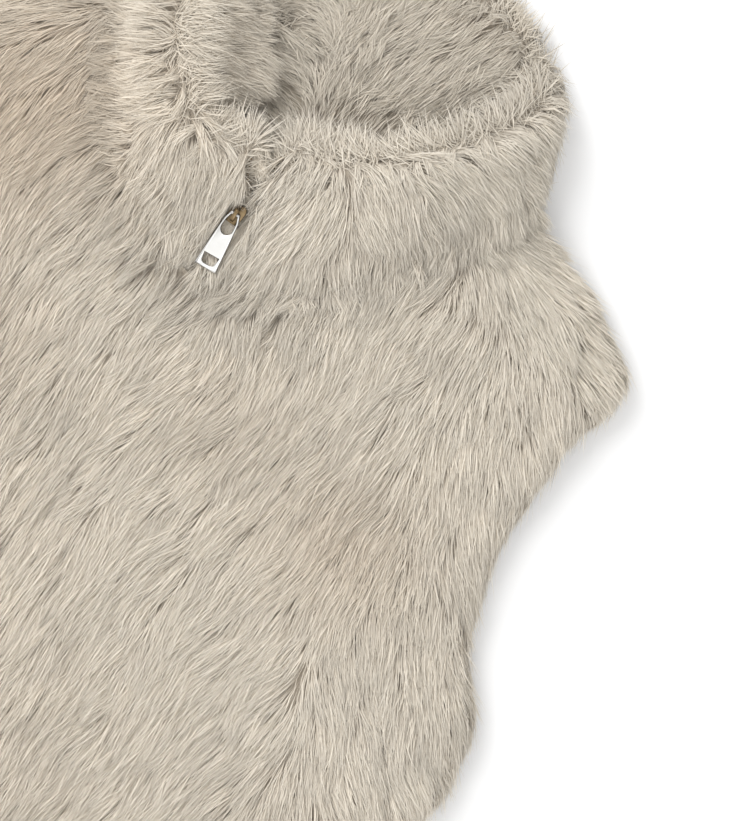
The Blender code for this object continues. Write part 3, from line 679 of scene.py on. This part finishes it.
def lay_tufts(ground, locks, length, rng):
    """The tufts of a pile, each drawn to its lock."""
    count = max(FEWEST_TUFTS, int(area_of(ground.surface) / TUFT_SPACING**2))
    spots, up = strew(*ground.surface, count, rng)
    own = nearest(spots, locks.spots)[0][:, 0]
    seam = seam_nearness(spots, ground.neighbours)
    stray_turn = TUFT_TURN + (RIM_SPREAD if ground.rim else 0.0) * seam
    turn = locks.turn[own] * LOCK_HOLD + rng.normal(0, 1, count) * stray_turn
    path, facing = walk(ground, spots, up, turn, length)
    share = np.linspace(0, 1, WALK_STEPS + 1)[None, :, None]
    stray = path - locks.path[own]
    far = np.linalg.norm(stray[:, :1], axis=2, keepdims=True) > LOCK_RADIUS
    path = path - np.where(far, 0.0, LOCK_PULL) * share * stray
    tone = LOCK_TONE * locks.tone[own] + OWN_TONE * rng.normal(0, 1, count)
    rise = LOCK_RISE * locks.rise[own] + OWN_RISE * rng.random(count)
    return Tufts(spots, seam, path, facing, tone, rise)


def strand_places(ground, count, rng):
    """Places for strands, closer together at seams, rims and bridged openings."""
    corners, normals, faces = ground.surface
    middles = corners[faces].mean(1)
    seam_share = RIM_SHARE if ground.rim else SEAM_SHARE
    crowd = 1 + seam_share * seam_nearness(middles, ground.neighbours)
    crowd += BRIDGE_SHARE * bridged(middles)
    return strew(corners, normals, faces, count, rng, crowd)[0]


def strand_heights(depth, tuft_rise, seam, rng):
    """Each strand's height over the skin at its stations."""
    count = len(seam)
    loose = rng.random(count) < LOOSE_SHARE
    stray_up = np.where(loose, rng.uniform(*LOOSE_RISE, count) * MM, 0)
    least, added = TUFT_RISE
    rise = TIP_RISE * (least + added * tuft_rise) * rng.uniform(*TIP_RISE_RANGE, count)
    rise += SEAM_RISE * seam * rng.uniform(*SEAM_RISE_RANGE, count)
    root = depth * (1 - SEAM_LIFT * seam)
    return [-root + (root + rise + stray_up * t) * t**RISE_POWER for t in STATIONS]


def along_tufts(spots, tufts, guided, clump, reach, bend, heights):
    """Points and facings of strands that follow the tufts' paths.

    guided is each strand's tufts and their shares, and bend is how far its tip turns
    aside and its middle bows aside.
    """
    guides, share = guided
    own = tufts.path[guides[:, 0]]
    turn, wave = bend
    points, tilts = [], []
    for t, height in zip(STATIONS, heights):
        base = sample(own, reach * t)
        moved = spots - base
        for k in range(GUIDES):
            guide = tufts.path[guides[:, k]]
            moved += share[:, k, None] * (sample(guide, reach * t) - guide[:, 0])
        tilt = unit(sample(tufts.facing[guides[:, 0]], reach * t))
        before, after = max(0, t - AHEAD), min(1, t + AHEAD)
        ahead = unit(sample(own, reach * after) - sample(own, reach * before))
        side = unit(np.cross(tilt, ahead))
        point = base + moved * (1 - clump * t**CLUMP_POWER) + tilt * height[:, None]
        sway = turn * t * t + wave * math.sin(math.pi * t)
        points.append(point + side * sway[:, None])
        tilts.append(tilt)
    return np.stack(points, 1), np.stack(tilts, 1)


def over_rim(spots, heading, reach, heights):
    """Points of strands that run straight on over a collar's rim and fall a little."""
    across = np.stack([np.sin(heading), -np.cos(heading), np.zeros(len(spots))], 1)
    points = []
    for t, height in zip(STATIONS, heights):
        point = spots + across * reach[:, None] * t
        point[:, 2] += height - CROSS_FALL * reach * t * t
        points.append(point)
    return np.stack(points, 1)


def strand_tones(spec, tuft_tone, spots, roots, collars, rng):
    """Each strand's tone, from 0 to 1."""
    node, shift = spec[0], spec[-1]
    tone = MIDDLE_TONE + shift + TUFT_TONE * tuft_tone
    tone = tone + STRAND_TONE * rng.normal(0, 1, len(spots))
    # Painted light and shade: collar and facing strands are lighter the higher their
    # roots stand, and the fronts' strands are darker near the collar's foot.
    if "collar" in node:
        lift = FACING_PAINTED_LIGHT if "facing" in node else COLLAR_PAINTED_LIGHT
        tone += lift * np.clip((roots[:, 2] - PAINTED_LIGHT_FROM) / PAINTED_LIGHT_OVER, 0, 1)
    elif node != "back":
        tone -= FOOT_PAINTED_SHADE * seam_nearness(spots, collars, FOOT_REACH)
    return np.clip(tone, 0, 1)


def lay_pile(spec, ground, collars):
    """Strand points, facings and tones of one row's pile, and its random source."""
    _, _, count, length, depth, _, clump, _ = spec
    rng = np.random.default_rng(SEED + PILE.index(spec))
    length, depth = length * MM, depth * MM
    tufts = lay_tufts(ground, lay_locks(ground, length, rng), length, rng)
    spots = strand_places(ground, count, rng)
    guides, share = nearest(spots, tufts.spots, GUIDES)
    tuft = guides[:, 0]
    seam, tuft_rise, tuft_tone = tufts.seam[tuft], tufts.rise[tuft], tufts.tone[tuft]
    share[seam > ALONE_FROM] = np.eye(GUIDES)[0]

    reach = rng.uniform(*REACH_RANGE, count)
    bend = rng.normal(0, STRAND_TURN, count), rng.normal(0, STRAND_WAVE, count)
    heights = strand_heights(depth, tuft_rise, seam, rng)
    guided = (guides, share)
    points, tilts = along_tufts(spots, tufts, guided, clump, reach, bend, heights)

    # At a collar's rim some strands fall to its other side instead.
    chance = rng.random(count)
    stray_turn = CROSS_TUFT_TURN * tuft_tone + rng.normal(0, 1, count)
    cross_reach = reach * length * rng.uniform(*CROSS_LENGTH, count)
    if ground.rim:
        least, added = RIM_PATCHES
        at_rim = seam_nearness(spots, ground.rim, RIM_REACH)
        crosses = chance < RIM_CROSS * (least + added * tuft_rise) * at_rim
        heading = nap_at(spots, ground.nap) + math.pi + stray_turn * RIM_SPREAD
        crossed = over_rim(spots, heading, cross_reach, heights)
        points[crosses], tilts[crosses] = crossed[crosses], (0, 0, 1)

    points = under_tab(points)
    lowest = TABLE_CLEARANCE * rng.uniform(*TABLE_CLEARANCE_RANGE, count)[:, None]
    points[..., 2] = np.maximum(points[..., 2], lowest)
    tone = strand_tones(spec, tuft_tone, spots, points[:, 0], collars, rng)
    return points, tilts, tone, rng


def strand_mesh(name, points, tilts, tone, rng, material):
    """One mesh of spindle-shaped strands, bent at the middle, from strand points."""
    count = len(points)
    ahead = unit(np.gradient(points, axis=1))
    roll = rng.normal(0, STRAND_ROLL, count)[:, None, None]
    side = unit(np.cross(tilts, ahead))
    side = unit(side * np.cos(roll) + tilts * np.sin(roll))
    width = STRAND_WIDTH * rng.uniform(*WIDTH_RANGE, count)[:, None]
    corners = np.empty((count, 4, 3), np.float32)
    corners[:, 0] = points[:, 0]
    corners[:, 1] = points[:, 1] - side[:, 1] * width / 2
    corners[:, 2] = points[:, 1] + side[:, 1] * width / 2
    corners[:, 3] = points[:, 2]
    corners[..., 2] = np.maximum(corners[..., 2], LOWEST_EDGE)
    pattern = np.array([(0, 2, 1), (1, 2, 3)], np.int32)
    faces = pattern[None] + 4 * np.arange(count, dtype=np.int32)[:, None, None]
    faces = faces.reshape(-1, 3)
    mesh = bpy.data.meshes.new(name)
    mesh.vertices.add(count * 4)
    mesh.vertices.foreach_set("co", corners.ravel())
    mesh.loops.add(faces.size)
    mesh.loops.foreach_set("vertex_index", faces.ravel())
    mesh.polygons.add(len(faces))
    starts = np.arange(0, faces.size, 3, dtype=np.int32)
    mesh.polygons.foreach_set("loop_start", starts)
    mesh.polygons.foreach_set("use_smooth", np.ones(len(faces), bool))
    along = mesh.attributes.new("along", "FLOAT", "POINT")
    shares = np.tile(np.array([0, 1, 1, 2], np.float32) / 2, count)
    along.data.foreach_set("value", shares)
    tones = mesh.attributes.new("tone", "FLOAT", "POINT")
    tones.data.foreach_set("value", np.repeat(tone, 4).astype(np.float32))
    # How much painted shade each strand takes from the shaded spots near its middle
    # point.
    painted_shade = mesh.attributes.new("painted_shade", "FLOAT", "POINT")
    amount = sum(row[3] * nearness(points[:, 1], *row[:3]) for row in PAINTED_SHADE_SPOTS)
    painted_shade.data.foreach_set("value", np.repeat(amount, 4).astype(np.float32))
    mesh.update(calc_edges=True)
    mesh.validate()
    mesh.materials.append(material)
    piece = bpy.data.objects.new(name, mesh)
    bpy.context.scene.collection.objects.link(piece)
    return piece


def ground_cloth(name, solid, normals, material):
    """The knitted ground under the pile: the solid's form, drawn in where it shows."""
    mesh = bpy.data.meshes.new(name)
    for corner in solid.verts:
        corner.co -= Vector(normals[corner.index]) * SKIN_INSET
        corner.co.z = max(corner.co.z, TABLE_CLEARANCE)
    solid.to_mesh(mesh)
    mesh.shade_smooth()
    mesh.materials.append(material)
    piece = bpy.data.objects.new(name, mesh)
    bpy.context.scene.collection.objects.link(piece)
    return piece


def search_tree(skins, nodes):
    """One search tree of the shown skins of several nodes."""
    places, polygons, start = [], [], 0
    for node in nodes:
        corners, _, faces = skins[node]
        places.append(corners)
        polygons.append(faces + start)
        start += len(corners)
    return BVHTree.FromPolygons(
        [Vector(p) for p in np.concatenate(places)],
        [tuple(int(i) for i in f) for f in np.concatenate(polygons)],
    )


def read_skins():
    """Each soft node's solid, exposed faces and normals, and its shown skin."""
    trees = solid_trees()
    solids, skins = {}, {}
    for node in SOFT_NODES:
        solid = merged_solid(node)
        solid.verts.index_update()
        solid.faces.ensure_lookup_table()
        others = [tree for other, tree in trees.items() if other != node]
        shown = exposed_faces(solid, others)
        normals = skin_normals(solid, shown)
        corners = np.array([v.co for v in solid.verts])
        faces = np.array([[v.index for v in f.verts] for f in solid.faces])
        solids[node] = (solid, normals)
        skins[node] = (corners, normals, faces[shown])
    return solids, skins


def part_of_skin(surface, part):
    """The skin's faces that lie in the neck, or those that don't."""
    corners, normals, faces = surface
    in_neck = normals[faces].mean(1)[:, 2] > NECK_SLOPE
    return corners, normals, faces[in_neck if part == "neck" else ~in_neck]


def lay_row(spec, skin, skins, collars):
    """Lays one row of PILE as joined strands; returns its pieces."""
    node, part, nap_table = spec[0], spec[1], spec[5]
    dull = "facing" in node or part == "neck"
    surface = skins[node] if part == "all" else part_of_skin(skins[node], part)
    neighbours = search_tree(skins, [n for n in SOFT_NODES if n != node])
    rim = search_tree(skins, RIMS[node]) if node in RIMS else None
    level_share = COLLAR_LEVEL if "collar" in node else BODY_LEVEL
    nap = mirrored_nap(nap_table)
    ground = Ground(surface, skin, neighbours, rim, nap, level_share)
    points, tilts, tone, rng = lay_pile(spec, ground, collars)
    parts = math.ceil(len(points) / PIECE_STRANDS)
    order = np.argsort(points[:, 0, 1], kind="stable")
    name = f"fur_{node}" if part == "all" else f"fur_{node}_{part}"
    finish = FACING_FUR if dull else BODY_FUR
    pieces = []
    for i, chosen in enumerate(np.array_split(order, parts)):
        number = f"_{i + 1}" if parts > 1 else ""
        strands = (points[chosen], tilts[chosen], tone[chosen])
        piece = strand_mesh(name + number, *strands, rng, finish)
        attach(piece, "vest")
        pieces.append(piece)
    return pieces


def dress_all():
    """Lays the pile and the ground cloth of every soft solid."""
    solids, skins = read_skins()
    skin = search_tree(skins, SOFT_NODES)
    collars = search_tree(skins, ["collar_left", "collar_right"])
    laid = {node: [] for node in SOFT_NODES}
    for spec in PILE:
        laid[spec[0]] += lay_row(spec, skin, skins, collars)
    for node in SOFT_NODES:
        solid, normals = solids[node]
        ground = ground_cloth(f"ground_{node}", solid, normals, GROUND_CLOTH)
        solid.free()
        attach(ground, "vest")
        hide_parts(node)


# ---------------------------------------------------------------- zip


def spine(node, side=0.0, lift=0.0):
    """Middle points along a swept CAD node, from its hem end up, moved aside and up."""
    rings = {}
    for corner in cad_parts[node].data.vertices:
        rings.setdefault(round(corner.co.y / RING_STEP), []).append(corner.co)
    points = []
    for _, ring in sorted(rings.items()):
        middle = sum(ring, Vector()) / len(ring)
        points.append(middle + Vector((side, 0, lift)))
    return points


def repeat_tree(name):
    """Geometry nodes that set one item at every pitch along a path."""
    tree = bpy.data.node_groups.new(name, "GeometryNodeTree")
    for label, kind, flow in (
        ("Geometry", "NodeSocketGeometry", "INPUT"),
        ("Pitch", "NodeSocketFloat", "INPUT"),
        ("Item", "NodeSocketObject", "INPUT"),
        ("Finish", "NodeSocketMaterial", "INPUT"),
        ("Geometry", "NodeSocketGeometry", "OUTPUT"),
    ):
        tree.interface.new_socket(label, in_out=flow, socket_type=kind)
    given = add_node(tree, "NodeGroupInput")
    path = add_node(
        tree, "GeometryNodeMeshToCurve", inputs={"Mesh": given.outputs["Geometry"]}
    )
    steps = add_node(
        tree,
        "GeometryNodeResampleCurve",
        {"mode": "LENGTH"},
        {"Curve": path.outputs["Curve"], "Length": given.outputs["Pitch"]},
    )
    tangent = add_node(tree, "GeometryNodeInputTangent")
    turn = add_node(
        tree,
        "FunctionNodeAlignRotationToVector",
        {"axis": "Y", "pivot_axis": "X"},
        {"Vector": tangent.outputs["Tangent"]},
    )
    item = add_node(
        tree, "GeometryNodeObjectInfo", inputs={"Object": given.outputs["Item"]}
    )
    placed = add_node(
        tree,
        "GeometryNodeInstanceOnPoints",
        inputs={
            "Points": steps.outputs["Curve"],
            "Instance": item.outputs["Geometry"],
            "Rotation": turn.outputs["Rotation"],
        },
    )
    real = add_node(
        tree,
        "GeometryNodeRealizeInstances",
        inputs={"Geometry": placed.outputs["Instances"]},
    )
    finished = add_node(
        tree,
        "GeometryNodeSetMaterial",
        inputs={
            "Geometry": real.outputs["Geometry"],
            "Material": given.outputs["Finish"],
        },
    )
    add_node(tree, "NodeGroupOutput", inputs={"Geometry": finished.outputs["Geometry"]})
    return tree


def repeat_along(name, tree, path, pitch, item, finish):
    """A plain mesh of items set along the path by the tree."""
    mesh = bpy.data.meshes.new(name + "_path")
    mesh.from_pydata(path, [(i, i + 1) for i in range(len(path) - 1)], [])
    carrier = bpy.data.objects.new(name + "_path", mesh)
    bpy.context.scene.collection.objects.link(carrier)
    modifier = carrier.modifiers.new("repeat", "NODES")
    modifier.node_group = tree
    sockets = {
        socket.name: socket.identifier
        for socket in tree.interface.items_tree
        if socket.in_out == "INPUT"
    }
    modifier[sockets["Pitch"]] = pitch
    modifier[sockets["Item"]] = item
    modifier[sockets["Finish"]] = finish
    graph = bpy.context.evaluated_depsgraph_get()
    made = bpy.data.meshes.new_from_object(carrier.evaluated_get(graph))
    made.name = name
    bpy.data.objects.remove(carrier)
    piece = bpy.data.objects.new(name, made)
    bpy.context.scene.collection.objects.link(piece)
    return piece


def block(name, size, neck, head_out):
    """A small moulded block: size wide, long and thick, waisted to neck on one side."""
    width, length, thick = size
    solid = bmesh.new()
    bmesh.ops.create_cube(solid, size=1.0)
    for corner in solid.verts:
        slim = neck if corner.co.x * head_out < 0 else 1.0
        corner.co = (
            corner.co.x * width,
            corner.co.y * length * slim,
            corner.co.z * thick,
        )
    bmesh.ops.bevel(
        solid,
        geom=solid.edges[:],
        offset=BLOCK_EASE * min(size),
        segments=1,
        affect="EDGES",
    )
    bmesh.ops.recalc_face_normals(solid, faces=solid.faces)
    mesh = bpy.data.meshes.new(name)
    solid.to_mesh(mesh)
    solid.free()
    mesh.shade_smooth()
    return bpy.data.objects.new(name, mesh)


def polished_copy(node, name, edge, finish):
    """A CAD node's own form with its sharp edges eased, as tumbling leaves them."""
    solid = bmesh.new()
    solid.from_mesh(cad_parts[node].data)
    bmesh.ops.remove_doubles(solid, verts=solid.verts, dist=WELD)
    bmesh.ops.dissolve_limit(
        solid, angle_limit=math.radians(3), verts=solid.verts, edges=solid.edges
    )
    mesh = bpy.data.meshes.new(name)
    solid.to_mesh(mesh)
    solid.free()
    mesh.shade_smooth()
    carrier = bpy.data.objects.new(name, mesh)
    bpy.context.scene.collection.objects.link(carrier)
    bevel = carrier.modifiers.new("eased", "BEVEL")
    bevel.width, bevel.segments = edge, 2
    bevel.limit_method, bevel.angle_limit = "ANGLE", math.radians(35)
    bevel.use_clamp_overlap = True
    bevel.harden_normals = True
    graph = bpy.context.evaluated_depsgraph_get()
    made = bpy.data.meshes.new_from_object(carrier.evaluated_get(graph))
    carrier.modifiers.clear()
    carrier.data = made
    made.materials.clear()
    made.materials.append(finish)
    return carrier


def make_zip():
    """Teeth, stitches, slider, stop and pull tab, in metal and twill."""
    tree = repeat_tree("set_along_path")
    tooth = block("tooth", TOOTH_SIZE, TOOTH_WAIST, 1)
    other_tooth = block("other_tooth", TOOTH_SIZE, TOOTH_WAIST, -1)
    stitch = block("stitch", STITCH_SIZE, 1.0, 1)
    half = Vector((0, TOOTH_PITCH / 2, 0))
    left_path = [p + half for p in spine("zip_chain", TOOTH_OFFSET)]
    right_path = spine("zip_chain", -TOOTH_OFFSET)
    for node, name, path, item in (
        ("zip_chain", "teeth_chain_left", left_path, tooth),
        ("zip_chain", "teeth_chain_right", right_path, other_tooth),
        ("zip_row_left", "teeth_row_left", spine("zip_row_left"), tooth),
        ("zip_row_right", "teeth_row_right", spine("zip_row_right"), other_tooth),
    ):
        piece = repeat_along(name, tree, path, TOOTH_PITCH, item, BRASS)
        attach(piece, "vest")
        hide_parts(node)
    for node in ("zip_tape_left", "zip_tape_right"):
        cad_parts[node].data.materials.clear()
        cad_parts[node].data.materials.append(TWILL)
        path = spine(node, 0.0, STITCH_LIFT)
        name = node.replace("zip_tape", "stitches")
        seam = repeat_along(name, tree, path, STITCH_PITCH, stitch, THREAD)
        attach(seam, "vest")
    for node, name, ease, finish, body, slot in (
        ("zip_slider", "slider_casting", METAL_EASE, BRASS, "vest", "zip_metal"),
        ("zip_pull_tab", "pull_tab_plate", TAB_EASE, NICKEL, "pull_tab", "tab_metal"),
        ("zip_bottom_stop", "bottom_stop_clip", METAL_EASE, BRASS, "vest", "zip_metal"),
    ):
        piece = polished_copy(node, name, ease, finish)
        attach(piece, body)
        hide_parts(node)


# ---------------------------------------------------------------- room


def make_floor():
    """A plain white table top under the vest."""
    bpy.ops.mesh.primitive_plane_add(size=6, location=(0, 0, TABLE_TOP))
    floor = bpy.context.object
    floor.name = "table_top"
    material, _, shader = new_material("white_laminate", roughness=0.7)
    shader.inputs["Base Color"].default_value = (0.93, 0.93, 0.93, 1)
    shader.inputs["Specular IOR Level"].default_value = 0.2
    floor.data.materials.append(material)


def make_light(name, place, aim, size, watts):
    """A soft square light that looks from place to aim."""
    data = bpy.data.lights.new(name, "AREA")
    data.size, data.energy = size, watts
    lamp = bpy.data.objects.new(name, data)
    lamp.location = place
    lamp.rotation_euler = (aim - place).to_track_quat("-Z", "Y").to_euler()
    bpy.context.scene.collection.objects.link(lamp)


def make_room():
    """Camera straight above, turned as the photo is; soft key at its upper left."""
    centre = PHOTO_CENTRE
    data = bpy.data.cameras.new("camera")
    data.lens, data.sensor_width = 120, 36
    camera = bpy.data.objects.new("camera", data)
    camera.location = centre + Vector((0, 0, CAMERA_HEIGHT))
    camera.rotation_euler = (0, 0, PHOTO_TURN)
    bpy.context.scene.collection.objects.link(camera)
    bpy.context.scene.camera = camera
    make_light("key", centre + Vector((-1.25, 0.35, 1.25)), centre, 1.3, 24)
    make_light("fill", centre + Vector((0.9, -0.7, 1.6)), centre, 1.8, 9)
    world = bpy.data.worlds.new("room")
    world.use_nodes = True
    background = world.node_tree.nodes["Background"]
    background.inputs["Color"].default_value = (1.0, 1.0, 1.0, 1)
    background.inputs["Strength"].default_value = 0.80
    bpy.context.scene.world = world
    bpy.context.scene.view_settings.view_transform = "Standard"
    make_floor()


BODY_FUR = make_fur_material(
    "modacrylic_pile",
    ((0.0, ROOT_COLOUR), (0.45, MIDDLE_COLOUR), (1.0, TIP_COLOUR)),
)
FACING_FUR = make_fur_material(
    "modacrylic_facing_pile",
    ((0.0, FACING_ROOT), (0.45, FACING_MIDDLE), (1.0, FACING_TIP)),
)
BRASS = make_metal("antique_brass", BRASS_COLOUR, 0.36, WORN_BRASS)
NICKEL = make_metal(
    "polished_nickel", NICKEL_COLOUR, 0.16, WORN_NICKEL, metallic=0.55, edge=NICKEL_PAINTED_EDGE
)
TWILL = make_twill("polyester_twill", TWILL_COLOUR, TWILL_PAINTED_SHADE)
THREAD = make_twill("spun_thread", THREAD_COLOUR, THREAD_PAINTED_SHADE)
GROUND_CLOTH, _, ground_shader = new_material("knitted_ground", roughness=0.9)
ground_shader.inputs["Base Color"].default_value = linear_colour(GROUND_COLOUR)

make_room()
dress_all()
make_zip()
